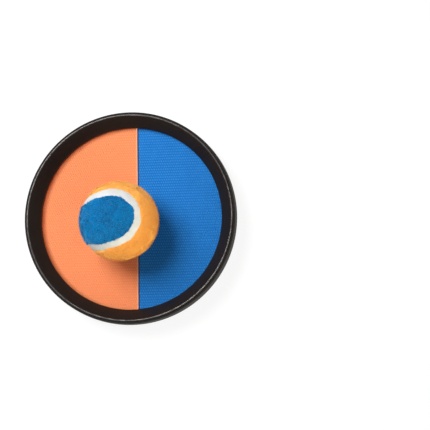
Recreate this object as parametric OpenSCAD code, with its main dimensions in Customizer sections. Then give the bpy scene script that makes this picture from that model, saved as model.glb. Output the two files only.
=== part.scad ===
// Hook and loop catch paddle with its felt ball. Millimetres, +Z is the catching face's normal.
// The origin is the middle of the foot ring, on the surface that the paddle lies on.

/* [Paddle rim] */
// Outside diameter at the front lip
lip_d = 180; // [150:1:230]
// How far the wall bulges past the lip at its widest ring
belly_out = 1.0; // [0:0.1:3]
// How far below the crest the widest ring lies
belly_drop = 12; // [6:0.5:14]
// Height from the foot ring to the crest
paddle_h = 27; // [25:0.5:40]
// How far the foot ring stands in from the widest ring
foot_inset = 5; // [2:0.25:6]
// Width of the flat on the foot ring
foot_w = 2.4; // [1.6:0.1:4]
// Width of the shell's lip outside the parting groove
lip_w = 1.6; // [1.2:0.1:3]
// How far the lip lies below the crest
lip_drop = 1.5; // [0.5:0.1:3]
// Width of the parting groove between lip and bezel
groove_w = 0.4; // [0.2:0.05:1]
// Chamfer on the lip's outer edge
lip_edge = 0.4; // [0.1:0.05:0.8]
// Wall of the shell below the floor
shell_t = 2.0; // [1.4:0.1:3]
// Floor of the shell
floor_t = 1.8; // [1.2:0.1:3]
// Radial rib count on the back of the floor
rib_n = 12; // [6:6:12]
// Depth of the ribs
rib_h = 2.5; // [1:0.25:4]
// Thickness of the ribs
rib_t = 1.6; // [1:0.1:2.4]
// How far the ring rib stands in from the shell's bore
rib_inset = 19; // [16:0.5:22]

/* [Bezel] */
// Width of the bezel from its outer side to the fabric
bezel_w = 10; // [9.5:0.25:16]
// Wall of the sloping part
bezel_t = 1.8; // [1.4:0.1:2.4]
// Wall of the skirt that seats on the floor
skirt_t = 1.8; // [1.4:0.1:2.4]
// Radius of the crest
crest_r = 0.7; // [0.4:0.05:0.8]
// Height of the upright edge next to the fabric
edge_h = 0.9; // [0.4:0.1:2]
// How far a screw boss runs into the skirt
boss_lap = 0.3; // [0.1:0.05:0.6]

/* [Catching face] */
// Depth of the fabric below the crest
face_depth = 11.5; // [8:0.25:13]
// Thickness of the hook fabric
fabric_t = 1.2; // [0.8:0.1:2]
// Thickness of the foam under the fabric
foam_t = 1.5; // [1.3:0.1:3]
// Where the seam between the two colours lies, right of the middle
seam_x = 6.1; // [-15:0.1:15]
// Gap between the two cut edges
seam_gap = 0.2; // [0.1:0.05:0.6]
// Width of the tape that joins the halves from below
tape_w = 8; // [4:0.5:14]
// Thickness of the tape
tape_t = 0.4; // [0.2:0.05:0.6]

/* [Screws] */
// Screws that hold the bezel
rim_screw_n = 6; // [3:1:8]
// Outside diameter of the screw thread
screw_d = 2.6; // [2:0.1:3]
// Head diameter of the bezel screws
rim_head_d = 5.2; // [4.4:0.1:6]
// Head height of the bezel screws
rim_head_h = 1.8; // [1.2:0.1:2.4]
// Diameter of the screw bosses
boss_d = 6; // [5:0.25:7]
// Plastic left over the end of a boss's hole
hole_cap = 0.8; // [0.4:0.1:1.4]
// How far a screw's tip stays short of its hole's end
tip_gap = 0.4; // [0.2:0.05:0.8]
// Head diameter of the strap bar screws
bar_head_d = 8; // [6:0.25:10]
// Head height of the strap bar screws
bar_head_h = 1.1; // [0.8:0.05:1.2]

/* [Hand strap] */
// Width of the webbing
strap_w = 38; // [25:1:50]
// Thickness of the webbing
strap_t = 1.2; // [1:0.1:1.4]
// Distance of each strap bar from the middle
bar_y = 54; // [48:0.5:58]
// Diameter of the strap bars
bar_d = 4; // [3:0.1:4.4]
// Depth of the bar's axis behind the floor
bar_drop = 4.6; // [4.4:0.1:5]
// Length of each lug along the bar
lug_len = 9; // [7:0.5:12]
// Width of each lug across the bar
lug_w = 8; // [6.5:0.25:9]
// Thickness of the hook patch and of the loop patch
patch_t = 0.8; // [0.5:0.05:0.9]
// Length of the hook patch and of the loop patch
patch_len = 43; // [30:0.5:46]
// How far the outer half reaches past the hook patch, as a pull tab
tab_len = 8; // [5:0.5:14]
// Length of the open loop round a bar
loop_len = 12; // [9:0.25:14]
// Straight length of webbing next to a bar
root_len = 6; // [4:0.25:8]
// How far an end of webbing runs past its patch
patch_end = 2; // [0.5:0.25:4]
// Length of the folded and sewn root of each half
fold_len = 22; // [16:0.5:24]
// Radius of the corners at the webbing's ends
tip_r = 6; // [3:0.5:9]
// Distance of the stitch rows from the edges
stitch_in = 3; // [2:0.25:5]
// Width of a stitch row
stitch_w = 0.7; // [0.4:0.05:1]
// Height of a stitch row above the webbing
stitch_t = 0.25; // [0.15:0.05:0.35]

/* [Ball] */
// Outside diameter of the felt ball
ball_d = 65; // [50:0.5:75]
// Thickness of the felt
felt_t = 2.5; // [1.5:0.1:4]
// Wall of the rubber core
core_t = 3.5; // [2:0.1:6]
// Width of the white seam band
band_w = 6.5; // [2:0.1:8]
// How far the band lies below the felt
band_sink = 0.5; // [0.1:0.05:1]
// Shape of the seam curve, larger is wavier
seam_shape = 0.21; // [0.14:0.01:0.23]
// Where the ball sits on the face, to the right
ball_x = -3.7; // [-20:0.1:20]
// Where the ball sits on the face, along the seam
ball_y = -6.4; // [-20:0.1:20]

/* [Clearances] */
// Foot of the strap above the surface that the paddle lies on
ground_gap = 0.6; // [0.4:0.05:1]
// Between the hook patch and the loop patch
hook_gap = 0.2; // [0.1:0.05:0.4]
// Between a strap bar and its webbing
bar_fit = 0.25; // [0.1:0.05:0.4]
// Between the webbing's edge and a lug
lug_fit = 1.5; // [0.5:0.1:3]
// Round a screw where it passes the floor
screw_fit = 0.3; // [0.1:0.05:0.5]
// Round a screw in its boss or lug
thread_fit = 0.05; // [0.02:0.01:0.1]
// Between the end of a boss and the floor, so that the skirt seats first
boss_gap = 0.15; // [0.05:0.05:0.3]
// Between the fabric's edge and the bosses
fabric_fit = 0.5; // [0.2:0.05:1]
// Round a screw head in the foam
head_fit = 0.5; // [0.2:0.05:1]
// Glue line between core, felt and band
glue_fit = 0.1; // [0.05:0.01:0.2]
// Between the ball and the hooks
ball_fit = 0.1; // [0.05:0.05:0.3]

/* [Hidden] */
$fn = 96;
eps = 0.01;
// Heights, counted down from the crest
face_z = paddle_h - face_depth;
foam_top = face_z - fabric_t;
floor_top = foam_top - foam_t;
floor_back = floor_top - floor_t;
lip_z = paddle_h - lip_drop;
belly_z = paddle_h - belly_drop;
// Radii of shell and bezel
lip_r = lip_d / 2;
belly_r = lip_r + belly_out;
foot_r = belly_r - foot_inset;
bore_r = lip_r - lip_w;
bezel_r = bore_r - groove_w;
face_r = bezel_r - bezel_w;
skirt_r = bezel_r - skirt_t;
boss_r = boss_d / 2;
boss_pr = skirt_r - boss_r + boss_lap;
fabric_r = boss_pr - boss_r - fabric_fit;
// Slope of the bezel, tangent to the crest
crest_c = [bezel_r - crest_r, paddle_h - crest_r];
edge_p = [face_r, face_z + edge_h];
to_crest = crest_c - edge_p;
slope_a = atan2(to_crest[1], to_crest[0]) + asin(crest_r / norm(to_crest));
slope_drop = bezel_t / cos(slope_a);
function slope_z(r) = edge_p[1] + (r - face_r) * tan(slope_a);
function under_z(r) = slope_z(r) - slope_drop;
function under_r(z) = face_r + (z + slope_drop - edge_p[1]) / tan(slope_a);
boss_top = under_z(boss_pr - boss_r) + slope_drop / 2;
// Wall of the shell, a parabola from the widest ring down to the foot
function wall_r(z) = belly_r - foot_inset * pow(max(0, 1 - z / belly_z), 2);
screw_r = screw_d / 2;
rib_r = bore_r - rib_inset;
// Strap bars and webbing, in the plane along the strap
bar_r = bar_d / 2;
bar_z = floor_back - bar_drop;
lug_x = strap_w / 2 + lug_fit + lug_len / 2;
knuckle_in = bar_r + bar_fit;
knuckle_out = knuckle_in + strap_t;
outer_z = ground_gap + strap_t / 2;
inner_z = outer_z + strap_t + hook_gap + 2 * patch_t;
// Height at which the webbing leaves the ring round a bar, as a share of the ring's radius
leave = 0.8;
// The folded layers meet at the end of the open loop, the level stretch starts just before the patches
fold_start = loop_len - strap_t / tan(asin(knuckle_out / loop_len)) - strap_t / 2;
box_start = fold_start + 2 * stitch_w;
patch_start = bar_y - patch_len / 2 - patch_end / 2;
level_len = patch_start - patch_end / 2;
inner_len = patch_start + patch_len + patch_end;
hook_start = 2 * bar_y - patch_start - patch_len;
outer_len = hook_start + patch_len + tab_len;
bend_n = 8;
knots = concat([0], [for (i = [0 : bend_n]) root_len + (level_len - root_len) * i / bend_n], [3 * bar_y]);
// Ball
ball_r = ball_d / 2;
core_r = ball_r - felt_t - glue_fit;
ball_c = [ball_x, ball_y, face_z + ball_fit + ball_r];
ball_turn = [-112.9, -41.7, 111.4];
curve_n = 64;
cap_n = 7;

// Places of the screws
module at_rim_screws() {
    for (i = [0 : rim_screw_n - 1]) rotate([0, 0, (i + 0.5) * 360 / rim_screw_n]) translate([boss_pr, 0, 0]) children();
}
module at_bar_screws() {
    for (x = [-1, 1], y = [-1, 1]) translate([x * lug_x, y * bar_y, 0]) children();
}
module rod(r, z0, z1) {
    translate([0, 0, z0]) cylinder(r = r, h = z1 - z0);
}

// Back shell: wall, floor, foot ring and ribs in one moulding
module shell_section() {
    n = 10;
    polygon(concat(
        [[0, floor_back]],
        [for (i = [0 : n]) let (z = floor_back * (1 - i / n)) [wall_r(z) - shell_t - (foot_w - shell_t) * i / n, z]],
        [for (i = [0 : n]) let (z = belly_z * i / n) [wall_r(z), z]],
        [[lip_r, lip_z - lip_edge], [lip_r - lip_edge, lip_z], [bore_r, lip_z], [bore_r, floor_top], [0, floor_top]]));
}
module ribs() {
    translate([0, 0, floor_back - rib_h]) difference() {
        cylinder(r = rib_r, h = rib_h + eps);
        translate([0, 0, -1]) cylinder(r = rib_r - rib_t, h = rib_h + 2);
    }
    for (i = [0 : rib_n - 1]) rotate([0, 0, (i + 0.5) * 360 / rib_n])
        translate([rib_r - rib_t / 2, -rib_t / 2, floor_back - rib_h])
            cube([wall_r(floor_back - rib_h) - shell_t / 2 - rib_r + rib_t / 2, rib_t, rib_h + eps]);
}
module back_shell() {
    color("#26221f") difference() {
        union() {
            rotate_extrude() shell_section();
            difference() {
                ribs();
                at_rim_screws() rod(rim_head_d / 2 + head_fit, 0, floor_back);
                for (y = [-1, 1]) translate([-lug_x - lug_len / 2 - head_fit, y * bar_y - lug_w / 2 - head_fit, 0])
                    cube([2 * lug_x + lug_len + 2 * head_fit, lug_w + 2 * head_fit, floor_back]);
            }
        }
        at_rim_screws() rod(screw_r + screw_fit, floor_back - rib_h - 1, floor_top + 1);
        at_bar_screws() rod(screw_r + screw_fit, floor_back - rib_h - 1, floor_top + 1);
    }
}

// Front bezel: the slope that guides the ball, its crest, skirt and screw bosses
module bezel_section() {
    n = 10;
    polygon(concat(
        [[face_r, face_z], edge_p],
        [for (i = [0 : n]) let (a = (slope_a + 90) * (1 - i / n)) crest_c + crest_r * [cos(a), sin(a)]],
        [[bezel_r, floor_top], [skirt_r, floor_top], [skirt_r, under_z(skirt_r)], [under_r(face_z), face_z]]));
}
module rim_bezel() {
    color("#2b2622") difference() {
        union() {
            rotate_extrude() bezel_section();
            at_rim_screws() rod(boss_r, floor_top + boss_gap, boss_top);
        }
        at_rim_screws() rod(screw_r + thread_fit, floor_top - 1, boss_top - hole_cap);
    }
}
module rim_screws() {
    color("silver") at_rim_screws() union() {
        rod(rim_head_d / 2, floor_back - rim_head_h, floor_back);
        rod(screw_r, floor_back - eps, boss_top - hole_cap - tip_gap);
    }
}

// Foam, the two halves of hook fabric and the tape under their seam
module foam_pad() {
    color("#d8d4c8") difference() {
        rod(fabric_r, floor_top, foam_top);
        at_bar_screws() rod(bar_head_d / 2 + head_fit, floor_top - 1, foam_top + 1);
    }
}
module face_half(side) {
    x0 = seam_x + side * seam_gap / 2;
    difference() {
        rod(fabric_r, foam_top, face_z);
        translate([side > 0 ? x0 - 2 * lip_d : x0, -lip_d, foam_top - 1]) cube([2 * lip_d, 2 * lip_d, fabric_t + 2]);
        translate([seam_x - tape_w / 2, -lip_d, foam_top - 1]) cube([tape_w, 2 * lip_d, tape_t + 1]);
    }
}
module face_orange() { color("#f0683a") face_half(-1); }
module face_blue() { color("#1f5fb4") face_half(1); }
module face_seam_tape() {
    color("#8d6a6a") intersection() {
        rod(fabric_r, foam_top, foam_top + tape_t);
        translate([seam_x - tape_w / 2, -lip_d, foam_top - 1]) cube([tape_w, 2 * lip_d, tape_t + 2]);
    }
}

// Strap bars: a round bar between two lugs that are screwed to the floor from the front
module strap_bar() {
    difference() {
        union() {
            translate([0, 0, bar_z]) rotate([0, 90, 0]) cylinder(r = bar_r, h = 2 * lug_x, center = true);
            for (x = [-1, 1]) translate([x * lug_x, 0, bar_z]) union() {
                rotate([0, 90, 0]) cylinder(r = lug_w / 2, h = lug_len, center = true);
                translate([-lug_len / 2, -lug_w / 2, 0]) cube([lug_len, lug_w, bar_drop]);
            }
        }
        for (x = [-1, 1]) translate([x * lug_x, 0, 0]) rod(screw_r + thread_fit, bar_z - tip_gap, floor_back + 1);
    }
}
module strap_bar_far() { color("#3a3632") translate([0, bar_y, 0]) strap_bar(); }
module strap_bar_near() { color("#3a3632") translate([0, -bar_y, 0]) strap_bar(); }
module bar_screws() {
    color("silver") at_bar_screws() union() {
        rod(bar_head_d / 2, floor_top, floor_top + bar_head_h);
        rod(screw_r, bar_z, floor_top + eps);
    }
}

// Webbing: s runs from the bar towards the middle, the profile sinks from the bar to a level stretch
function fall(level) = (bar_z - strap_t / 2 - level) / (root_len + (level_len - root_len) / 2);
function mid_z(s, level) = s < root_len ? bar_z - strap_t / 2 - fall(level) * s
    : level + (s < level_len ? fall(level) * pow(level_len - s, 2) / (level_len - root_len) / 2 : 0);
function mid_slope(s, level) = s < root_len ? -fall(level)
    : s < level_len ? -fall(level) * (level_len - s) / (level_len - root_len) : 0;
function mid_point(s, off, level) = let (d = mid_slope(s, level), l = sqrt(1 + d * d)) [s - off * d / l, mid_z(s, level) + off / l];
// Every layer follows the same polyline through the knots, so that layers meet face to face
function knot_at(s) = max([for (i = [0 : len(knots) - 2]) if (knots[i] <= s) i]);
function layer_point(s, off, level) = let (k = knot_at(s), f = (s - knots[k]) / (knots[k + 1] - knots[k]))
    mid_point(knots[k], off, level) * (1 - f) + mid_point(knots[k + 1], off, level) * f;
function steps(a, b) = concat([a], [for (s = knots) if (s > a + eps && s < b - eps) s], [b]);
module layer(a, b, low, high, level) {
    st = steps(a, b);
    n = len(st) - 1;
    polygon(concat([for (i = [0 : n]) layer_point(st[i], high, level)], [for (i = [n : -1 : 0]) layer_point(st[i], low, level)]));
}
module across(w) {
    rotate([90, 0, 90]) linear_extrude(height = w, center = true) children();
}
module tip_plan(length) {
    h = strap_w / 2 - tip_r;
    union() {
        translate([-strap_w / 2, -bar_y]) square([strap_w, bar_y + length - tip_r]);
        translate([-h, 0]) square([2 * h, length]);
        for (x = [-h, h]) translate([x, length - tip_r]) circle(r = tip_r);
    }
}
// A point near the bar, q along the root's slope and h across it
function root_point(q, h, level) = let (a = atan(fall(level))) [q * cos(a) + h * sin(a), bar_z - q * sin(a) + h * cos(a)];
// One outline from the bar along the lower face to the tip and back over the fold
module web_outline(length, level) {
    low = steps(fold_start, length);
    high = steps(fold_len, length);
    fold = steps(fold_start, fold_len);
    polygon(concat(
        [root_point(0, -leave * knuckle_out, level)],
        [for (s = low) layer_point(s, -strap_t / 2, level)],
        [for (i = [len(high) - 1 : -1 : 0]) layer_point(high[i], strap_t / 2, level)],
        [for (i = [len(fold) - 1 : -1 : 0]) layer_point(fold[i], strap_t * 1.5, level)],
        [root_point(0, leave * knuckle_out, level)]));
}
module web_section(length, level) {
    difference() {
        union() {
            translate([0, bar_z]) circle(r = knuckle_out);
            web_outline(length, level);
        }
        union() {
            translate([0, bar_z]) circle(r = knuckle_in);
            polygon([root_point(0, -leave * knuckle_in, level), root_point(fold_start, 0, level), root_point(0, leave * knuckle_in, level)]);
        }
    }
}
module webbing(length, level) {
    intersection() {
        across(strap_w) web_section(length, level);
        translate([0, 0, -paddle_h / 2]) linear_extrude(height = 2 * paddle_h) tip_plan(length);
    }
}
module box_plan(a, b) {
    w = strap_w - 2 * stitch_in;
    difference() {
        translate([-w / 2, a]) square([w, b - a]);
        translate([-w / 2 + stitch_w, a + stitch_w]) square([w - 2 * stitch_w, b - a - 2 * stitch_w]);
    }
}
module cross_plan(a, b) {
    w = strap_w - 2 * stitch_in - stitch_w;
    turn = atan2(b - a - stitch_w, w);
    for (k = [-1, 1]) translate([0, (a + b) / 2]) rotate(k * turn)
        square([norm([b - a - stitch_w, w]), stitch_w], center = true);
}
module stitch_row(a, b, low, high, level, crossed) {
    intersection() {
        across(strap_w) layer(a, b, low, high, level);
        translate([0, 0, -paddle_h / 2]) linear_extrude(height = 2 * paddle_h) union() {
            box_plan(a + stitch_w / 2, b - stitch_w / 2);
            if (crossed) cross_plan(a + stitch_w / 2, b - stitch_w / 2);
        }
    }
}
module inner_half() { translate([0, -bar_y, 0]) children(); }
module outer_half() { translate([0, bar_y, 0]) rotate([0, 0, 180]) children(); }
module strap_inner() { color("#1d1c1e") inner_half() webbing(inner_len, inner_z); }
module loop_patch() {
    color("#2f2f33") inner_half() across(strap_w - stitch_in)
        layer(patch_start, patch_start + patch_len, -strap_t / 2 - patch_t, -strap_t / 2, inner_z);
}
module strap_inner_stitch() {
    color("#4a4a50") inner_half() union() {
        stitch_row(box_start, fold_len - stitch_w, -strap_t / 2 - stitch_t, -strap_t / 2, inner_z, true);
        stitch_row(patch_start + stitch_w, patch_start + patch_len - stitch_w, strap_t / 2, strap_t / 2 + stitch_t, inner_z, false);
    }
}
module strap_outer() { color("#1d1c1e") outer_half() webbing(outer_len, outer_z); }
module hook_patch() {
    color("#2f2f33") outer_half() across(strap_w - stitch_in)
        layer(hook_start, hook_start + patch_len, strap_t / 2, strap_t / 2 + patch_t, outer_z);
}
module strap_outer_stitch() {
    color("#4a4a50") outer_half() union() {
        stitch_row(box_start, fold_len - stitch_w, -strap_t / 2 - stitch_t, -strap_t / 2, outer_z, true);
        stitch_row(hook_start + stitch_w, hook_start + patch_len - stitch_w, -strap_t / 2 - stitch_t, -strap_t / 2, outer_z, false);
    }
}

// Ball: a rubber core in two halves, two felt panels and the white band between them.
// The panels meet along the curve [a cos t + b cos 3t, a sin t - b sin 3t, 2 sqrt(ab) sin 2t].
sa = 1 - seam_shape;
sb = seam_shape;
function seam_at(t) = [sa * cos(t) + sb * cos(3 * t), sa * sin(t) - sb * sin(3 * t), 2 * sqrt(sa * sb) * sin(2 * t)];
function seam_run(t) = [-sa * sin(t) - 3 * sb * sin(3 * t), sa * cos(t) - 3 * sb * cos(3 * t), 4 * sqrt(sa * sb) * cos(2 * t)];
function seam_side(t) = let (n = cross(seam_at(t), seam_run(t))) n / norm(n);
function seam_off(t, d) = seam_at(t) * cos(d) + seam_side(t) * sin(d);
function polar(p, k) = let (a = acos(max(-1, min(1, p[2] / norm(p)))) * k, f = atan2(p[1], p[0])) [sin(a) * cos(f), sin(a) * sin(f), cos(a)];
// A cone from the ball's middle through one panel, as far as half the band's width from the curve
module panel_cone(half) {
    d = half / ball_r * 180 / PI;
    far = ball_r * 1.5;
    ring = [for (j = [1 : cap_n], i = [0 : curve_n - 1]) far * polar(seam_off(i * 360 / curve_n, d), j / cap_n)];
    points = concat([[0, 0, 0], [0, 0, far]], ring);
    function at(j, i) = 2 + j * curve_n + (i % curve_n);
    faces = concat(
        [for (i = [0 : curve_n - 1]) [1, at(0, i + 1), at(0, i)]],
        [for (j = [0 : cap_n - 2], i = [0 : curve_n - 1], k = [0, 1])
            k == 0 ? [at(j, i), at(j, i + 1), at(j + 1, i + 1)] : [at(j, i), at(j + 1, i + 1), at(j + 1, i)]],
        [for (i = [0 : curve_n - 1]) [at(cap_n - 1, i), at(cap_n - 1, i + 1), 0]]);
    polyhedron(points = points, faces = faces);
}
module other_panel() { rotate([180, 0, 0]) children(); }
module at_ball() { translate(ball_c) rotate(ball_turn) children(); }
module core_half() {
    rotate_extrude() intersection() {
        difference() { circle(r = core_r); circle(r = core_r - core_t); }
        square([core_r, core_r]);
    }
}
// The spheres' own axis lies along the panel's length, and their own seam meets no corner of it, which keeps their exact faces simple
module felt_shell() {
    rotate([0, 90, -45]) rotate(17) difference() { sphere(r = ball_r); sphere(r = core_r + glue_fit); }
}
module ball_core_a() { color("#3b3a38") at_ball() core_half(); }
module ball_core_b() { color("#34332f") at_ball() rotate([180, 0, 0]) core_half(); }
module ball_felt_blue() {
    color("#1a6fae") at_ball() intersection() { felt_shell(); panel_cone(band_w / 2 + glue_fit); }
}
module ball_felt_orange() {
    color("#f0a040") at_ball() other_panel() intersection() { felt_shell(); panel_cone(band_w / 2 + glue_fit); }
}
module ball_band() {
    color("#e8e4dc") at_ball() difference() {
        sphere(r = ball_r - band_sink);
        sphere(r = core_r + glue_fit);
        panel_cone(band_w / 2);
        other_panel() panel_cone(band_w / 2);
    }
}

back_shell();
rim_bezel();
rim_screws();
foam_pad();
face_orange();
face_blue();
face_seam_tape();
strap_bar_far();
strap_bar_near();
bar_screws();
strap_inner();
loop_patch();
strap_inner_stitch();
strap_outer();
hook_patch();
strap_outer_stitch();
ball_core_a();
ball_core_b();
ball_felt_orange();
ball_felt_blue();
ball_band();
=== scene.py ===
# %% [markdown]
# # A hook and loop catch paddle
# This lesson dresses a CAD model of a round catch paddle and its felt ball.
# Every size and every moving piece is already in that frame, and Blender adds the looks.

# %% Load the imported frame
from math import asin, atan, atan2, cos, hypot, pi, radians, sin, sqrt, tan

import bpy
import numpy as np
from mathutils import Matrix, Vector


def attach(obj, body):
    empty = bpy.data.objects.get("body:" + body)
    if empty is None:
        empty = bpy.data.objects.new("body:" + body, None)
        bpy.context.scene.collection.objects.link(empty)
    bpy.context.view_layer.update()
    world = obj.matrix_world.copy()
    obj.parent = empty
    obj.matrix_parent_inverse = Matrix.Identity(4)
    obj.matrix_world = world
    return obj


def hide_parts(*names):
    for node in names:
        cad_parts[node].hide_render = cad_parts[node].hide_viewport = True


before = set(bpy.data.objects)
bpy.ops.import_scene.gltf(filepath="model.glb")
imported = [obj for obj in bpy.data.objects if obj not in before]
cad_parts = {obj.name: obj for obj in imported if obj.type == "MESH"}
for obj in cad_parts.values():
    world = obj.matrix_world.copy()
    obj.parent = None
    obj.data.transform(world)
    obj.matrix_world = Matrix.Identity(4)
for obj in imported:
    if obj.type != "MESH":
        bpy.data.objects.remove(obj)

MM = 0.001
scene = bpy.context.scene
for leftover in ("Cube", "Light", "Camera"):
    if leftover in bpy.data.objects:
        bpy.data.objects.remove(bpy.data.objects[leftover])
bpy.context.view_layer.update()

# %% [markdown]
# ## The camera
# The photograph was taken from above and a little from the right, with a long lens.
# A constraint could aim the camera, but its place and axes were fitted to the circles of the rim,
# so the axes go straight into its matrix.

# %% Make the camera
CAMERA_AT, LENS, SENSOR = (0.14054, -0.0965, 0.76937), 75.35, 36.0
looking = Vector((-0.0895, 0.1269, -0.9879)).normalized()
right = looking.cross(Vector((0.0292, 0.9918, 0.1248))).normalized()
upwards = right.cross(looking)
bpy.ops.object.camera_add()
camera = bpy.context.object
camera.name = "photo_camera"
turned_so = Matrix((right, upwards, -looking)).transposed().to_4x4()
camera.matrix_world = Matrix.Translation(CAMERA_AT) @ turned_so
camera.data.sensor_width = SENSOR
camera.data.lens = LENS
scene.camera = camera
print("camera looks along", [round(c, 3) for c in looking])

# %% [markdown]
# ## Floor and light
# The paddle lies on a white floor under one large soft lamp at the upper left, as the ball's shadow shows.
# A warm reflector board at the lower right could be a second lamp, but as a glow of the room it is softer.
# Room, floor and finishes are all made of shader nodes, so a small class first makes those short to write.

# %% A helper for shader nodes
class Nodes:
    """Short ways to add nodes to one tree. An input is a value, or a socket to link."""

    def __init__(self, tree):
        self.tree = tree

    def link(self, value, socket):
        if isinstance(value, bpy.types.NodeSocket):
            self.tree.links.new(value, socket)
        else:
            socket.default_value = value

    def add(self, kind, ins=None, **settings):
        """Adds one node and returns its outputs."""
        node = self.tree.nodes.new("ShaderNode" + kind)
        for key, value in settings.items():
            setattr(node, key, value)
        for key, value in (ins or {}).items():
            self.link(value, node.inputs[key])
        return node.outputs

    def place(self, group, spot, **values):
        """Adds a node group at a position, with its own values, and returns its outputs."""
        node = self.tree.nodes.new("ShaderNodeGroup")
        node.node_tree = group
        for label, value in {"Place": spot, **values}.items():
            self.link(value, node.inputs[label])
        return node.outputs

    def math(self, operation, a, b=0.0):
        return self.add("Math", {0: a, 1: b}, operation=operation)[0]

    def times(self, a, b, plus=0.0):
        """a times b, plus a third value."""
        return self.add("Math", {0: a, 1: b, 2: plus}, operation="MULTIPLY_ADD")[0]

    def mix(self, factor, a, b):
        """A colour between a and b."""
        return self.add("Mix", {0: factor, 6: a, 7: b}, data_type="RGBA")[2]

    def ramp(self, value, start, end, low=0.0, high=1.0, **settings):
        """Maps a value from start and end to low and high, and no further."""
        return self.add("MapRange", {0: value, 1: start, 2: end, 3: low, 4: high}, **settings)[0]

    def from_axis(self, spot):
        """The coordinates of a position, and its distance from the paddle's axis."""
        axes = self.add("SeparateXYZ", {0: spot})
        flat = self.add("CombineXYZ", {0: axes[0], 1: axes[1]})[0]
        return axes, self.add("VectorMath", {0: flat}, operation="LENGTH")["Value"]


print("node helpers ready")

# %% The room
WHITE, WARM = (1.0, 1.0, 1.0, 1.0), (1.0, 0.97, 0.6, 1.0)
ROOM_LIGHT, REFLECTOR, NARROWING = 0.2, 6.5, 8.0
BOARD_AT = (0.705, -0.705, -0.08)
room = bpy.data.worlds.new("bright_room")
scene.world = room
room.use_nodes = True
background = room.node_tree.nodes["Background"].inputs
n = Nodes(room.node_tree)
ahead = n.add("TexCoord")["Generated"]
facing = n.add("VectorMath", {0: ahead, 1: BOARD_AT}, operation="DOT_PRODUCT")["Value"]
board = n.math("POWER", n.math("MAXIMUM", facing, 0.0), NARROWING)
path = n.add("LightPath")
looked_at = n.math("MAXIMUM", path["Is Camera Ray"], path["Is Glossy Ray"])
seen = n.math("MAXIMUM", looked_at, path["Is Transmission Ray"])
n.link(n.mix(seen, n.mix(board, WHITE, WARM), WHITE), background["Color"])
n.link(n.ramp(seen, 0.0, 1.0, n.times(board, REFLECTOR, ROOM_LIGHT), 1.0), background["Strength"])
print("room", room.name)

# %% [markdown]
# The floor shows only to the camera, so the bright room also lights the paddle's back.
# Away from the paddle it fades into the white room, so that no far edge shows in a low view.

# %% The floor
FLOOR_WIDE, FLOOR_DROP = 8.0, 0.2
FADE_FROM, FADE_TO = 0.2, 0.38
SHADED, GLOW = (0.16, 0.16, 0.16, 1.0), 0.88
bpy.ops.object.select_all(action="DESELECT")
bpy.ops.mesh.primitive_plane_add(size=FLOOR_WIDE, location=(0.0, 0.0, -FLOOR_DROP * MM))
floor = bpy.context.object
floor.name = "floor"
floor.visible_diffuse = floor.visible_glossy = floor.visible_shadow = False
paper = bpy.data.materials.new("white_floor")
paper.use_nodes = True
tree = paper.node_tree
tree.nodes.remove(tree.nodes["Principled BSDF"])
n = Nodes(tree)
matt = n.add("BsdfDiffuse", {"Color": SHADED})[0]
lit = n.add("AddShader", {0: matt, 1: n.add("Emission", {"Color": WHITE, "Strength": GLOW})[0]})[0]
away = n.add("VectorMath", {0: n.add("TexCoord")["Object"]}, operation="LENGTH")["Value"]
faded = n.ramp(away, FADE_FROM, FADE_TO, interpolation_type="SMOOTHSTEP")
clear = n.math("MAXIMUM", n.add("NewGeometry")["Backfacing"], faded)
both = n.add("MixShader", {0: clear, 1: lit, 2: n.add("BsdfTransparent")[0]})[0]
n.link(both, tree.nodes["Material Output"].inputs["Surface"])
floor.data.materials.append(paper)
print("floor is", floor.dimensions.x, "m wide")

# %% The soft lamp
LAMP_AWAY, LAMP_SIZE, LAMP_POWER = 0.75, 0.42, 6.05
lamp_from = Vector((-0.34, 0.34, 0.88)).normalized()
bpy.ops.object.light_add(type="AREA", location=lamp_from * LAMP_AWAY)
lamp = bpy.context.object
lamp.name = "soft_lamp"
lamp.data.shape = "DISK"
lamp.data.size = LAMP_SIZE
lamp.data.energy = LAMP_POWER
lamp.rotation_mode = "QUATERNION"
lamp.rotation_quaternion = lamp_from.to_track_quat("Z", "Y")
scene.view_settings.view_transform = "Standard"
print("lamp stands", LAMP_AWAY, "m away")

# %% [markdown]
# ## Shared effects
# Moulded plastic has a fine grain, cloth a weave, felt its fibres, and everything is a little blotchy.
# Each effect could be copied into every material, but a node group is built once and placed many times.
# All of them read positions in millimetres.

# %% A helper for node groups
def effect(name, outs, **values):
    """A new node group with the input Place and others by name: the group, its nodes, inputs and outputs."""
    group = bpy.data.node_groups.new(name, "ShaderNodeTree")
    group.interface.new_socket(name="Place", in_out="INPUT", socket_type="NodeSocketVector")
    for label, value in values.items():
        socket = group.interface.new_socket(name=label, in_out="INPUT", socket_type="NodeSocketFloat")
        socket.default_value = value
    for label in outs:
        group.interface.new_socket(name=label, in_out="OUTPUT", socket_type="NodeSocketFloat")
    given, out = group.nodes.new("NodeGroupInput").outputs, group.nodes.new("NodeGroupOutput").inputs
    print("group", name)
    return group, Nodes(group), given, out


print("group helper ready")

# %% Blotches
blotches, n, given, out = effect("blotches", ["Value"], Size=10.0, Low=0.9, High=1.1)
scale = n.math("DIVIDE", 1.0, given["Size"])
cloud = n.add("TexNoise", {"Vector": given["Place"], "Scale": scale, "Detail": 4.0, "Roughness": 0.6})[0]
n.link(n.ramp(cloud, 0.3, 0.7, given["Low"], given["High"]), out["Value"])

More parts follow.
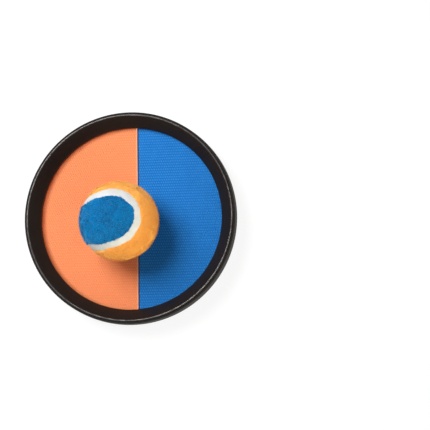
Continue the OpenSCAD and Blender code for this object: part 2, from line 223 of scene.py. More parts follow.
# %% Grain of moulded plastic
grain, n, given, out = effect("moulded_grain", ["Height", "Scuff"], Size=0.35)
scaled = {"Vector": given["Place"], "Scale": n.math("DIVIDE", 1.0, given["Size"])}
pits = n.add("TexVoronoi", scaled, feature="SMOOTH_F1")["Distance"]
sand = n.add("TexNoise", {**scaled, "Detail": 3.0})[0]
n.link(n.times(pits, 0.6, sand), out["Height"])
drawn_out = {"Vector": given["Place"], "Rotation": (0.3, 0.2, 0.7), "Scale": (0.05, 1.6, 0.3)}
drawn = n.add("Mapping", drawn_out)[0]
marks = n.add("TexNoise", {"Vector": drawn, "Scale": 1.4, "Detail": 5.0, "Roughness": 0.7})[0]
n.link(n.ramp(marks, 0.62, 0.74), out["Scuff"])

# %% Plain weave
weave, n, given, out = effect("plain_weave", ["Height", "Over"], Warp=0.6, Weft=0.6)
axes = n.add("SeparateXYZ", {0: given["Place"]})
across = n.math("SINE", n.math("DIVIDE", n.times(axes[0], pi), given["Warp"]))
along = n.math("SINE", n.math("DIVIDE", n.times(axes[1], pi), given["Weft"]))
over = n.math("GREATER_THAN", n.times(across, along), 0.0)
ridge_a, ridge_b = n.math("ABSOLUTE", across), n.math("ABSOLUTE", along)
lay_a = n.times(ridge_a, n.times(ridge_b, 0.4, 0.6))
lay_b = n.times(ridge_b, n.times(ridge_a, 0.4, 0.6))
n.link(n.add("Mix", {0: over, 2: lay_b, 3: lay_a}, data_type="FLOAT")[0], out["Height"])
n.link(over, out["Over"])

# %% Fibres of felt
fibres, n, given, out = effect("felt_fibres", ["Height", "Tone"], Size=1.0)
scaled = {"Vector": given["Place"], "Scale": n.math("DIVIDE", 1.0, given["Size"])}
curls = n.add("TexNoise", {**scaled, "Detail": 6.0, "Roughness": 0.75, "Distortion": 1.6})[0]
tufts = n.add("TexVoronoi", {**scaled, "Randomness": 1.0})["Distance"]
n.link(n.times(tufts, -0.35, curls), out["Height"])
n.link(n.ramp(curls, 0.42, 0.58), out["Tone"])

# %% Painted shade along the rim
# The face is painted darker near the rim, as painted shade for the rim's cast shadow. The part without it is
# a disc a little off the middle, so the painted shade reaches further in at the left
UNSHADED_MIDDLE = (2.8, -1.3, 0.0)
rim_painted_shade, n, given, out = effect("rim_painted_shade", ["Amount"], Start=75.2, End=80.6)
slipped = n.add("VectorMath", {0: given["Place"], 1: UNSHADED_MIDDLE}, operation="SUBTRACT")[0]
_, radius = n.from_axis(slipped)
closer = n.ramp(radius, given["Start"], given["End"], interpolation_type="SMOOTHSTEP")
uneven = n.place(blotches, given["Place"], Size=9.0, Low=0.75, High=1.0)[0]
n.link(n.times(closer, uneven), out["Amount"])

# %% Rows of the hook fabric
ROW, PITCH, SHIFT = 2.3, 2.0, 0.8
rows, n, given, out = effect("hook_rows", ["Rib", "Knot"])
axes = n.add("SeparateXYZ", {0: given["Place"]})
turns = n.math("DIVIDE", axes[1], ROW)
rib = n.times(n.math("COSINE", n.times(turns, 2 * pi)), 0.5, 0.5)
slid = n.math("SUBTRACT", axes[0], n.times(n.math("ROUND", turns), SHIFT))
knot = n.times(n.math("COSINE", n.times(slid, 2 * pi / PITCH)), 0.5, 0.5)
n.link(rib, out["Rib"])
n.link(n.times(rib, knot), out["Knot"])

# %% [markdown]
# ## Finishes
# Each finish is a Principled shader whose colour, roughness and bump come from the groups above.
# A colour is always a mix of two tones, because no real surface has only one.
# Numbers that are the same all over, such as sheen, sit on the shader's own sockets.

# %% Helpers that start and complete a finish
def start_finish(name, uv=False, **constants):
    """A new material, its nodes, its shader's inputs and a socket with the position in millimetres."""
    material = bpy.data.materials.new(name)
    material.use_nodes = True
    n = Nodes(material.node_tree)
    shader = material.node_tree.nodes["Principled BSDF"].inputs
    for label, value in constants.items():
        shader[label.replace("_", " ")].default_value = value
    where = n.add("TexCoord")["UV" if uv else "Object"]
    spot = n.add("VectorMath", {0: where, "Scale": 1.0 / MM}, operation="SCALE")[0]
    return material, n, shader, spot


def complete(n, shader, colour, rough, height, depth_mm, strength=1.0):
    """Feeds the shader its colour, its roughness, and a bump from a height of 0 to 1."""
    n.link(colour, shader["Base Color"])
    n.link(rough, shader["Roughness"])
    bump = n.add("Bump", {"Strength": strength, "Distance": depth_mm * MM, "Height": height})[0]
    n.link(bump, shader["Normal"])


def rgb(r, g, b):
    return (r, g, b, 1.0)


print("finish helpers ready")

# %% Satin black plastic with worn edges
RECESS_R, RECESS_TOP, RECESS_LOW, RECESS_HIGH = 87.4, 12.0, 2.0, 8.0
BRINK_R, BRINK_NEAR, BRINK_FAR = 78.1, 0.1, 0.45
BLACK, WORN_BLACK = (rgb(0.0068, 0.0053, 0.0047), rgb(0.0138, 0.0108, 0.0095)), rgb(0.085, 0.075, 0.07)


def black_plastic(name, worn, by_radius, grain_size, rough, gloss, polished=False, recessed=False):
    """Moulded black plastic, rubbed where its radius, or else its height, lies between two values in mm."""
    material, n, shader, spot = start_finish(
        name, Specular_IOR_Level=gloss, Coat_Roughness=0.07, Coat_IOR=1.6)
    grainy = n.place(grain, spot, Size=grain_size)
    cloudy = n.place(blotches, spot, Size=22.0, Low=0.75, High=1.3)[0]
    patchy = n.place(blotches, spot, Size=5.0, Low=0.25, High=1.0)[0]
    axes, radius = n.from_axis(spot)
    half = (worn[1] - worn[0]) / 2
    off = n.math("ABSOLUTE", n.math("SUBTRACT", radius if by_radius else axes[2], worn[0] + half))
    wear = n.times(n.ramp(off, half * 0.4, half, 1.0, 0.0), patchy)
    rubbed = n.math("MAXIMUM", n.times(wear, 0.55), n.times(grainy["Scuff"], 0.16))
    dark = n.mix(cloudy, *BLACK)
    dull = n.times(rubbed, 0.22, rough)
    # Inside the recess behind the floor the plastic is painted lighter, and made less rough, towards the
    # floor: painted light that lifts the shade there.
    if recessed:
        inside = n.times(n.math("LESS_THAN", radius, RECESS_R), n.math("LESS_THAN", axes[2], RECESS_TOP))
        deep = n.ramp(axes[2], RECESS_LOW, RECESS_HIGH, 0.0, inside)
        dull = n.times(deep, -0.14, dull)
        dark = n.mix(deep, dark, rgb(0.021, 0.020, 0.020))
    if polished:
        brink = n.math("ABSOLUTE", n.math("SUBTRACT", radius, BRINK_R))
        n.link(n.math("MAXIMUM", wear, n.ramp(brink, BRINK_NEAR, BRINK_FAR, 0.5, 0.0)), shader["Coat Weight"])
    colour = n.mix(rubbed, dark, WORN_BLACK)
    complete(n, shader, colour, n.times(cloudy, 0.05, dull), grainy["Height"], 0.05 * rough)
    return material


bezel_plastic = black_plastic("bezel_plastic", (86.3, 88.7), True, 0.3, 0.34, 0.13, polished=True)
shell_plastic = black_plastic("shell_plastic", (-0.8, 0.9), False, 0.6, 0.52, 0.1, recessed=True)
bar_plastic = black_plastic("bar_plastic", (3.9, 4.8), False, 0.4, 0.36, 0.3)
print("plastics:", bezel_plastic.name, shell_plastic.name, bar_plastic.name)

# %% Hook fabric in two colours
def painted_shade_colour(colour):
    """A darker, more saturated colour, used for painted shade along the rim."""
    return rgb(*[0.36 * c ** 1.65 for c in colour[:3]])


def hook_cloth(name, dark, light, rowed=False):
    """The woven ground of the hook fabric, lighter along the rows where the hooks are rooted."""
    material, n, shader, spot = start_finish(
        name, Specular_IOR_Level=0.12, Sheen_Weight=0.1, Sheen_Roughness=0.5)
    height = n.place(weave, spot, Warp=0.5, Weft=0.575)["Height"]
    cloudy = n.place(blotches, spot, Size=9.0, Low=0.0, High=1.0)[0]
    tone = n.times(height, 0.6, n.times(cloudy, 0.35))
    if rowed:
        lines = n.place(rows, spot)
        rooted = n.times(lines["Knot"], 0.85, n.times(lines["Rib"], 0.15))
        tone = n.times(tone, 0.28, n.times(rooted, 0.85))
        height = n.times(rooted, 2.2, height)
    colour = n.mix(tone, dark, light)
    # On the face the cloth is painted darker along the rim: painted shade for the rim's shadow.
    if rowed:
        colour = n.mix(n.place(rim_painted_shade, spot)["Amount"], colour, painted_shade_colour(dark))
    complete(n, shader, colour, n.times(cloudy, 0.12, 0.66), height, 0.12)
    return material


def hook_wire(name, dark, light):
    """The springy plastic thread that the hooks are cut from."""
    material, n, shader, spot = start_finish(name, Specular_IOR_Level=0.22)
    each = n.place(blotches, spot, Size=1.6, Low=0.0, High=1.0)[0]
    # The hooks are painted darker along the rim of the face: painted shade for the rim's shadow.
    colour = n.mix(n.place(rim_painted_shade, spot)["Amount"], n.mix(each, dark, light), painted_shade_colour(dark))
    drawn = n.place(grain, spot, Size=0.12)["Height"]
    complete(n, shader, colour, n.times(each, 0.15, 0.4), drawn, 0.008)
    return material


orange_cloth = hook_cloth("orange_cloth", rgb(0.97, 0.272, 0.098), rgb(1.0, 0.415, 0.20), rowed=True)
orange_wire = hook_wire("orange_wire", rgb(0.99, 0.38, 0.168), rgb(1.0, 0.45, 0.226))
blue_cloth = hook_cloth("blue_cloth", rgb(0.003, 0.153, 0.515), rgb(0.045, 0.325, 0.81), rowed=True)
blue_wire = hook_wire("blue_wire", rgb(0.012, 0.258, 0.72), rgb(0.058, 0.353, 0.845))
# The seam's beads: a pale painted highlight on the orange side, and a nearly black painted shadow in the
# joint on the blue side.
orange_painted_highlight = hook_cloth("orange_seam_painted_highlight", rgb(0.92, 0.44, 0.30), rgb(0.97, 0.58, 0.44))
blue_painted_shadow = hook_cloth("blue_seam_painted_shadow", rgb(0.028, 0.016, 0.05), rgb(0.06, 0.035, 0.10))
black_cloth = hook_cloth("black_patch_cloth", rgb(0.010, 0.010, 0.012), rgb(0.028, 0.028, 0.032))
black_wire = hook_wire("black_patch_wire", rgb(0.016, 0.016, 0.018), rgb(0.04, 0.04, 0.044))
tape_cloth = hook_cloth("seam_tape_cloth", rgb(0.16, 0.05, 0.07), rgb(0.32, 0.13, 0.16))
print("hook fabrics:", orange_cloth.name, blue_cloth.name)

# %% Felt, the white band and the rubber core
def felt(name, dark, light, haze):
    """Short wool felt: two tones of tangled fibres, with a haze of fine hair as sheen."""
    material, n, shader, spot = start_finish(
        name, Specular_IOR_Level=0.08, Diffuse_Roughness=1.0,
        Sheen_Weight=1.0, Sheen_Roughness=0.26, Sheen_Tint=haze)
    fuzzy = n.place(fibres, spot, Size=0.8)
    cloudy = n.place(blotches, spot, Size=2.6, Low=-0.12, High=0.12)[0]
    colour = n.mix(n.math("ADD", fuzzy["Tone"], cloudy), dark, light)
    complete(n, shader, colour, n.times(fuzzy["Tone"], 0.1, 0.85), fuzzy["Height"], 0.2, 0.8)
    return material


orange_felt = felt("orange_felt", rgb(0.95, 0.365, 0.05), rgb(1.0, 0.61, 0.155), rgb(1.0, 0.74, 0.48))
blue_felt = felt("blue_felt", rgb(0.001, 0.062, 0.20), rgb(0.006, 0.325, 0.72), rgb(0.38, 0.68, 0.80))

white_band, n, shader, spot = start_finish("white_band", Specular_IOR_Level=0.2)
grime = n.place(blotches, spot, Size=6.0, Low=0.0, High=0.7)[0]
pores = n.place(grain, spot, Size=0.5)["Height"]
colour = n.mix(grime, rgb(0.71, 0.715, 0.71), rgb(0.58, 0.58, 0.56))
complete(n, shader, colour, n.times(pores, 0.15, 0.6), pores, 0.12)

core_rubber, n, shader, spot = start_finish("core_rubber", Specular_IOR_Level=0.3)
bloom = n.place(blotches, spot, Size=8.0, Low=0.0, High=1.0)[0]
colour = n.mix(bloom, rgb(0.03, 0.028, 0.026), rgb(0.075, 0.07, 0.065))
complete(n, shader, colour, n.times(bloom, 0.2, 0.55), n.place(grain, spot, Size=0.8)["Height"], 0.06)
print("ball finishes:", orange_felt.name, blue_felt.name, white_band.name)

# %% Webbing, thread, foam and plated steel
webbing_cloth, n, shader, spot = start_finish(
    "black_webbing", uv=True, Specular_IOR_Level=0.25, Sheen_Weight=0.15, Sheen_Roughness=0.4)
ribbed = n.place(weave, spot, Warp=1.35, Weft=0.9)
cloudy = n.place(blotches, spot, Size=12.0, Low=0.0, High=1.0)[0]
tone = n.times(ribbed["Height"], 0.55, n.times(cloudy, 0.4))
colour = n.mix(tone, rgb(0.010, 0.010, 0.012), rgb(0.058, 0.058, 0.063))
complete(n, shader, colour, n.times(ribbed["Over"], 0.08, 0.5), ribbed["Height"], 0.28)

thread, n, shader, spot = start_finish("sewing_thread", Specular_IOR_Level=0.3)
ply = n.place(weave, spot, Warp=0.4, Weft=0.4)["Height"]
colour = n.mix(ply, rgb(0.10, 0.10, 0.105), rgb(0.24, 0.24, 0.25))
complete(n, shader, colour, n.times(ply, 0.15, 0.42), ply, 0.06)

foam, n, shader, spot = start_finish("closed_cell_foam", Specular_IOR_Level=0.15)
cells = n.add("TexVoronoi", {"Vector": spot, "Scale": 2.2})["Distance"]
colour = n.mix(cells, rgb(0.80, 0.77, 0.70), rgb(0.62, 0.58, 0.51))
complete(n, shader, colour, n.times(cells, 0.2, 0.7), cells, 0.15)

plated, n, shader, spot = start_finish("zinc_plated_steel", Metallic=1.0)
spangle = n.place(blotches, spot, Size=1.2, Low=0.0, High=1.0)[0]
colour = n.mix(spangle, rgb(0.46, 0.46, 0.45), rgb(0.66, 0.66, 0.64))
complete(n, shader, colour, n.times(spangle, 0.18, 0.26), n.place(grain, spot, Size=0.25)["Height"], 0.01)
print("small finishes:", webbing_cloth.name, thread.name, foam.name, plated.name)

# %% [markdown]
# ## Ways of working
# Most pieces are round, so the main move is the Spin tool: half a section is turned about the paddle's axis.
# A section is drawn as by hand: one vertex, then an extrusion to each next corner.
# Small helpers keep the cells below short. All their sizes are in millimetres.

# %% Helpers for choosing and editing
def deselect():
    if bpy.context.object and bpy.context.object.mode != "OBJECT":
        bpy.ops.object.mode_set(mode="OBJECT")
    bpy.ops.object.select_all(action="DESELECT")


def take(obj):
    """Selects one object alone and makes it active."""
    deselect()
    obj.select_set(True)
    bpy.context.view_layer.objects.active = obj
    return obj


def edit(obj):
    """Opens an object in edit mode with all of it selected."""
    take(obj)
    bpy.ops.object.mode_set(mode="EDIT")
    bpy.ops.mesh.select_all(action="SELECT")


def close():
    bpy.ops.object.mode_set(mode="OBJECT")
    return bpy.context.object


def named(name):
    obj = bpy.context.object
    obj.name = obj.data.name = name
    return obj


def pull(by):
    """Extrudes what is selected along a vector in metres."""
    bpy.ops.mesh.extrude_region_move(TRANSFORM_OT_translate={"value": by})


def shift(obj, by):
    """Moves all of an object's mesh."""
    edit(obj)
    bpy.ops.transform.translate(value=Vector(by) * MM)
    return close()


def turn(obj, angle):
    """Turns all of an object's mesh about the Z axis."""
    edit(obj)
    bpy.ops.transform.rotate(value=angle, orient_axis="Z", center_override=(0.0, 0.0, 0.0))
    return close()


def tidy_mesh(obj):
    """Merges doubles and turns every face outwards."""
    edit(obj)
    bpy.ops.mesh.remove_doubles(threshold=0.001 * MM)
    bpy.ops.mesh.normals_make_consistent(inside=False)
    return close()


print("editing helpers ready")

# %% Helpers for shapes
def sized(obj, size, at):
    """Gives a shape of unit size its size and its place."""
    edit(obj)
    bpy.ops.transform.resize(value=Vector(size) * MM)
    close()
    return shift(obj, at)


def block(name, size, at=(0.0, 0.0, 0.0)):
    deselect()
    bpy.ops.mesh.primitive_cube_add(size=1.0)
    return sized(named(name), size, at)


def grid(name, across, along):
    """A flat square of unit size, divided across and along."""
    deselect()
    bpy.ops.mesh.primitive_grid_add(x_subdivisions=across, y_subdivisions=along, size=1.0)
    return named(name)


def rod(name, sides, radius, length, at, tilt=(0.0, 0.0, 0.0)):
    """A cylinder with its middle at a place."""
    deselect()
    bpy.ops.mesh.primitive_cylinder_add(
        vertices=sides, radius=radius * MM, depth=length * MM, rotation=tilt, location=Vector(at) * MM)
    obj = named(name)
    bpy.ops.object.transform_apply(location=True, rotation=True)
    return obj


def trace(name, outline):
    """A chain of vertices through points: one vertex, then extrusions."""
    points = [Vector(p) * MM for p in outline]
    deselect()
    bpy.ops.mesh.primitive_plane_add(size=MM)
    edit(named(name))
    bpy.ops.mesh.merge(type="CENTER")
    bpy.ops.transform.translate(value=points[0])
    for here, there in zip(points, points[1:]):
        pull(there - here)
    return close()


def lathe(name, section, steps):
    """Draws a section, pairs of radius and height, and spins it about the Z axis."""
    obj = trace(name, [(r, 0.0, z) for r, z in section])
    edit(obj)
    bpy.ops.mesh.spin(steps=steps, angle=2 * pi, center=(0, 0, 0), axis=(0, 0, 1))
    close()
    return tidy_mesh(obj)


def around(obj, count):
    """Copies all of an object's mesh about the Z axis, evenly."""
    edit(obj)
    whole = 2 * pi * (count - 1) / count
    bpy.ops.mesh.spin(steps=count - 1, dupli=True, angle=whole, center=(0, 0, 0), axis=(0, 0, 1))
    return close()


print("shape helpers ready")

# %% Helpers that finish a piece
def apply(obj, kind, **settings):
    """Puts a modifier on an object and applies it."""
    take(obj)
    modifier = obj.modifiers.new(kind.title(), kind)
    for key, value in settings.items():
        setattr(modifier, key, value)
    bpy.ops.object.modifier_apply(modifier=modifier.name)
    return obj


def smooth(degrees):
    """Shades the chosen object smooth, up to an angle between faces."""
    bpy.ops.object.shade_smooth_by_angle(angle=radians(degrees))


def soften(obj, width, segments=2, angle=28):
    """Rounds the sharp edges and shades the rest smooth."""
    apply(obj, "BEVEL", width=width * MM, segments=segments, limit_method="ANGLE", angle_limit=radians(angle))
    smooth(32)
    return obj


def join(obj, *others):
    take(obj)
    for other in others:
        other.select_set(True)
    bpy.ops.object.join()
    return obj


def dress(obj, material, body, slot, *nodes):
    """Gives a finished piece its material and its body, and hides the CAD nodes that it stands for. The slot
    is not used.
    """
    obj.data.materials.clear()
    obj.data.materials.append(material)
    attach(obj, body)
    if nodes:
        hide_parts(*nodes)
    print(obj.name, "has", len(obj.data.polygons), "faces")
    return obj


print("finishing helpers ready")

# %% [markdown]
# ## The front bezel
# The black ring that guides the ball has a steep slope, a narrow crest and a skirt on the shell's floor.
# It could be carved out of a cylinder, but a spun section gives the slope and the crest exactly.
# Six screw bosses stand on its underside.

# %% Spin the bezel
CREST_Z, CREST_R, CREST_ROUND, CREST_STEPS = 27.0, 88.0, 0.7, 8
FACE_R, FACE_Z, EDGE_H = 78.0, 15.5, 0.9
SKIRT_R, FLOOR_TOP, BEZEL_WALL = 86.2, 12.8, 1.8
RIM_STEPS = 192
crest_r, crest_z = CREST_R - CREST_ROUND, CREST_Z - CREST_ROUND
rise = (crest_r - FACE_R, crest_z - FACE_Z - EDGE_H)
slope = atan2(rise[1], rise[0]) + asin(CREST_ROUND / hypot(*rise))
drop = BEZEL_WALL / cos(slope)


def under_slope(r):
    """Height of the underside of the slope at a radius."""
    return FACE_Z + EDGE_H + (r - FACE_R) * tan(slope) - drop


section = [(FACE_R, FACE_Z), (FACE_R, FACE_Z + EDGE_H)]
for i in range(CREST_STEPS + 1):
    a = (slope + pi / 2) * (1 - i / CREST_STEPS)
    section.append((crest_r + CREST_ROUND * cos(a), crest_z + CREST_ROUND * sin(a)))
section += [(CREST_R, FLOOR_TOP), (SKIRT_R, FLOOR_TOP), (SKIRT_R, under_slope(SKIRT_R))]
section += [(FACE_R + (drop - EDGE_H) / tan(slope), FACE_Z), section[0]]
bezel = lathe("bezel", section, RIM_STEPS)
soften(bezel, 0.22, 2, 34)
print("slope in degrees:", round(slope * 180 / pi, 1))

# %% Add the screw bosses
BOSS_PITCH, BOSS_R, HOLE_R, SCREWS = 83.5, 3.0, 1.35, 6
BOSS_GAP, HOLE_END = 0.15, 0.95
first = radians(180 / SCREWS)
boss_x, boss_y = BOSS_PITCH * cos(first), BOSS_PITCH * sin(first)
boss_low = FLOOR_TOP + BOSS_GAP
boss_high = under_slope(BOSS_PITCH - BOSS_R) + drop / 2
boss_h = boss_high - boss_low
bosses = rod("bosses", 32, BOSS_R, boss_h, (boss_x, boss_y, (boss_low + boss_high) / 2))
foot = [face.normal.z < -0.9 for face in bosses.data.polygons]
edit(bosses)
bpy.ops.mesh.select_mode(type="FACE")
close()
bosses.data.polygons.foreach_set("select", foot)
bpy.ops.object.mode_set(mode="EDIT")
bpy.ops.mesh.inset(thickness=(BOSS_R - HOLE_R) * MM)
pull((0.0, 0.0, (boss_h - HOLE_END) * MM))
bpy.ops.mesh.select_mode(type="VERT")
close()
soften(bosses, 0.15, 1, 40)
around(bosses, SCREWS)
join(bezel, bosses)
dress(bezel, bezel_plastic, "paddle", "bezel", "rim_bezel")

# %% [markdown]
# ## The back shell
# The shell is the body of the paddle: a bowed outer wall, a floor, a foot ring and ribs behind the floor.
# Its wall is a gentle parabola, so we draw it with many short steps before the spin.
# The ribs are one block that is copied round, and a ring that is spun.

# %% Spin the shell
LIP_R, BORE_R, LIP_Z, LIP_EDGE, LIP_STEPS = 90.0, 88.4, 25.5, 0.4, 6
BELLY_R, BELLY_Z, FOOT_INSET, FOOT_W, SHELL_WALL = 91.0, 15.0, 5.0, 2.4, 2.0
FLOOR_BACK, FLOOR_MID, WALL_STEPS = 11.0, 40.0, 14


def wall_r(z):
    """Outer radius of the wall at a height."""
    return BELLY_R - FOOT_INSET * max(0.0, 1.0 - z / BELLY_Z) ** 2


section = [(0.0, FLOOR_BACK), (FLOOR_MID, FLOOR_BACK)]
for i in range(WALL_STEPS + 1):
    z = FLOOR_BACK * (1 - i / WALL_STEPS)
    section.append((wall_r(z) - SHELL_WALL - (FOOT_W - SHELL_WALL) * i / WALL_STEPS, z))
section += [(wall_r(BELLY_Z * i / WALL_STEPS), BELLY_Z * i / WALL_STEPS) for i in range(WALL_STEPS + 1)]
for i in range(1, LIP_STEPS + 1):
    z = BELLY_Z + (LIP_Z - LIP_EDGE - BELLY_Z) * i / LIP_STEPS
    section.append((BELLY_R - (BELLY_R - LIP_R) * (i / LIP_STEPS) ** 1.3, z))
section += [(LIP_R - LIP_EDGE, LIP_Z), (BORE_R, LIP_Z), (BORE_R, FLOOR_TOP)]
section += [(FLOOR_MID, FLOOR_TOP), (0.0, FLOOR_TOP)]
shell = lathe("shell", section, RIM_STEPS)
soften(shell, 0.25, 2, 34)
print("shell is", round(shell.dimensions.x / MM, 1), "mm wide")

# %% Ribs behind the floor
RING_R, RIB_T, RIB_H, RIBS, RIB_ROUND, RING_STEPS = 69.4, 1.6, 2.5, 12, 0.35, 128
low, high = FLOOR_BACK - RIB_H, FLOOR_BACK + 0.4
corners = [(RING_R, high), (RING_R, low), (RING_R - RIB_T, low), (RING_R - RIB_T, high), (RING_R, high)]
ring = soften(lathe("ring_rib", corners, RING_STEPS), RIB_ROUND, 2)
reach = wall_r(low) - SHELL_WALL / 2 - RING_R + RIB_T / 2
rib_at = (RING_R - RIB_T / 2 + reach / 2, 0.0, (low + high) / 2)
rib = turn(block("radial_rib", (reach, RIB_T, high - low), rib_at), -pi / RIBS)
soften(rib, RIB_ROUND, 2)
around(rib, RIBS)
join(shell, ring, rib)
dress(shell, shell_plastic, "paddle", "shell", "back_shell")

# %% [markdown]
# ## Screws
# Six small plated screws hold the bezel from behind. Only the heads show: low domes with a cross slot.
# A cylinder is bevelled into a dome, a cross is cut with Boolean, and the finished screw is copied round.

# %% Model one screw and copy it
HEAD_R, HEAD_H, SHANK_R, SHANK_LEN, SHANK_MID = 2.6, 1.8, 1.3, 6.0, 2.9
SLOT_SIZE, SLOT_TURN = (2.9, 0.55, 2.0), 0.35
screws = rod("rim_screw_heads", 40, HEAD_R, HEAD_H, (boss_x, boss_y, FLOOR_BACK - HEAD_H / 2))
soften(screws, 0.5, 4)
for angle in (SLOT_TURN, SLOT_TURN + pi / 2):
    cross = turn(block("slot_cut", SLOT_SIZE), angle)
    shift(cross, (boss_x, boss_y, FLOOR_BACK - HEAD_H))
    apply(screws, "BOOLEAN", object=cross, operation="DIFFERENCE", solver="EXACT")
    bpy.data.objects.remove(cross)
shank = rod("shank", 24, SHANK_R, SHANK_LEN, (boss_x, boss_y, FLOOR_BACK + SHANK_MID))
soften(shank, 0.2, 1)
join(screws, shank)
around(screws, SCREWS)
dress(screws, plated, "paddle", "screw", "rim_screws")

# %% [markdown]
# ## Strap bars
# The hand strap is held by two plastic bars behind the floor, each with a lug at both ends.
# A bar is a cylinder, and a lug a block whose lower half is round, so a half disc is extruded along the bar.

# %% Model one bar and copy it
BAR_Y, BAR_Z, BAR_R, LUG_X, LUG_LEN, LUG_R = 54.0, 6.4, 2.0, 25.0, 9.0, 4.0
bar = rod("strap_bar_far_dressed", 40, BAR_R, 2 * LUG_X, (0.0, 0.0, BAR_Z), (0.0, pi / 2, 0.0))
smooth(32)
outline = [(0.0, LUG_R * sin(a), BAR_Z - LUG_R * cos(a)) for a in np.linspace(-pi / 2, pi / 2, 25)]
outline += [(0.0, LUG_R, FLOOR_BACK), (0.0, -LUG_R, FLOOR_BACK), outline[0]]
lug = trace("lug", outline)
edit(lug)
bpy.ops.mesh.remove_doubles(threshold=0.001 * MM)
bpy.ops.mesh.edge_face_add()
pull((LUG_LEN * MM, 0.0, 0.0))
close()
shift(lug, (LUG_X - LUG_LEN / 2, 0.0, 0.0))
soften(tidy_mesh(lug), 0.5, 3)
apply(lug, "MIRROR", use_axis=(True, False, False))
join(bar, tidy_mesh(lug))
near_bar = bar.copy()
near_bar.data = bar.data.copy()
near_bar.name = near_bar.data.name = "strap_bar_near_dressed"
scene.collection.objects.link(near_bar)
for piece, side, node in ((bar, 1, "strap_bar_far"), (near_bar, -1, "strap_bar_near")):
    dress(shift(piece, (0.0, side * BAR_Y, 0.0)), bar_plastic, "paddle", "bar", node)

# %% [markdown]
# ## Copies by the thousand
# Hooks, loops, stitches and felt fibres are all tiny pieces that repeat.
# An Array modifier would lay them in a plain grid, but here each copy has its own place and turn,
# so we model one, and a helper writes all the copies into one mesh.

# %% A helper that spreads copies
def spread(name, one, places, turns):
    """One mesh with a copy of a small modelled piece at each place, turned by each 3 x 3 matrix."""
    corners = np.array([v.co for v in one.data.vertices])
    points = np.einsum("nij,mj->nmi", np.asarray(turns), corners) + np.asarray(places)[:, None, :] * MM
    faces = [tuple(p.vertices) for p in one.data.polygons]
    firsts = range(0, len(points) * len(corners), len(corners))
    mesh = bpy.data.meshes.new(name)
    mesh.from_pydata(points.reshape(-1, 3), [], [tuple(i + k for i in f) for k in firsts for f in faces])
    obj = bpy.data.objects.new(name, mesh)
    scene.collection.objects.link(obj)
    bpy.data.objects.remove(one)
    take(obj)
    bpy.ops.object.shade_smooth()
    print(name, "is", len(points), "copies")
    return obj


def tube(name, path, thickness):
    """A thin bent wire with closed ends: a traced line, made a curve with a round bevel, made a mesh."""
    trace(name, path)
    bpy.ops.object.convert(target="CURVE")
    curve = bpy.context.object.data
    curve.bevel_depth = thickness / 2 * MM
    curve.bevel_resolution = 0
    curve.use_fill_caps = True
    bpy.ops.object.convert(target="MESH")
    return tidy_mesh(bpy.context.object)


def unit(vectors):
    """Rows of vectors, each made one long."""
    return vectors / np.linalg.norm(vectors, axis=1)[:, None]


def turned(angles, sizes):
    """Matrices that turn about Z by each angle and scale by each size."""
    c, s, o = np.cos(angles), np.sin(angles), np.zeros_like(angles)
    flat = np.stack([np.stack([c, -s, o], 1), np.stack([s, c, o], 1), np.stack([o, o, o + 1], 1)], 1)
    return flat * np.asarray(sizes)[:, None, None]


rng = np.random.default_rng(7)
print("spreading helpers ready")

# %% [markdown]
# ## Foam and seam tape
# Under the fabric lies a thin foam disc, and a tape joins the two colours from below.
# Both are hidden on the whole paddle, but they belong to it, so they get their own finishes, and the foam
# softened edges.

# %% Foam disc and tape
FABRIC_R, FOAM_TOP, FOAM_ROUND = 80.0, 14.3, 0.5
TAPE_W, TAPE_T, TAPE_PLAY, SEAM_X = 8.0, 0.4, 0.06, 6.1
outwards = [20, 40, 60, FABRIC_R - FOAM_ROUND]
section = [(0.0, FLOOR_TOP)] + [(r, FLOOR_TOP) for r in outwards]
section += [(FABRIC_R, FLOOR_TOP + FOAM_ROUND), (FABRIC_R, FOAM_TOP - FOAM_ROUND)]
section += [(r, FOAM_TOP) for r in outwards[::-1]] + [(0.0, FOAM_TOP)]
foam_disc = lathe("foam_disc", section, 128)
smooth(50)
dress(foam_disc, foam, "paddle", "foam", "foam_pad")

tape_half = sqrt(FABRIC_R ** 2 - (SEAM_X + TAPE_W / 2) ** 2)
tape = sized(grid("seam_tape", 6, 80), (TAPE_W, 2 * tape_half, 1.0), (SEAM_X, 0.0, FOAM_TOP + TAPE_T / 2))
apply(tape, "SOLIDIFY", thickness=(TAPE_T - TAPE_PLAY) * MM, offset=0.0)
dress(tape, tape_cloth, "paddle", "tape", "face_seam_tape")

# %% [markdown]
# ## The hook fabric
# The catching face is a stiff fabric with thousands of tiny hooks, in two colours that meet at a seam.
# A bump map could fake it, but the hooks show at the edges and catch the light, so they are modelled.
# First comes the woven ground: a spun disc that is cut at the seam with Bisect and given a thickness.

# %% Ground of the fabric
CLOTH_T, SEAM_GAP, LIFT_W, CLOTH_PLAY, CLOTH_WAVE = 0.42, 0.1, 1.6, 0.03, 0.035


def ground_z(x, y):
    """Height of the middle of the cloth: it lifts over the tape and is never quite flat."""
    lift = np.clip((TAPE_W / 2 + LIFT_W - np.abs(x - SEAM_X)) / LIFT_W, 0.0, 1.0)
    waves = np.sin(x / 13.0 + np.sin(y / 21.0)) * np.sin(y / 17.0 - x / 40.0)
    over_tape = (TAPE_T - CLOTH_PLAY) * lift * lift * (3 - 2 * lift)
    return FOAM_TOP + CLOTH_T / 2 + CLOTH_PLAY + over_tape + CLOTH_WAVE * (1 + waves) * (1 - lift)


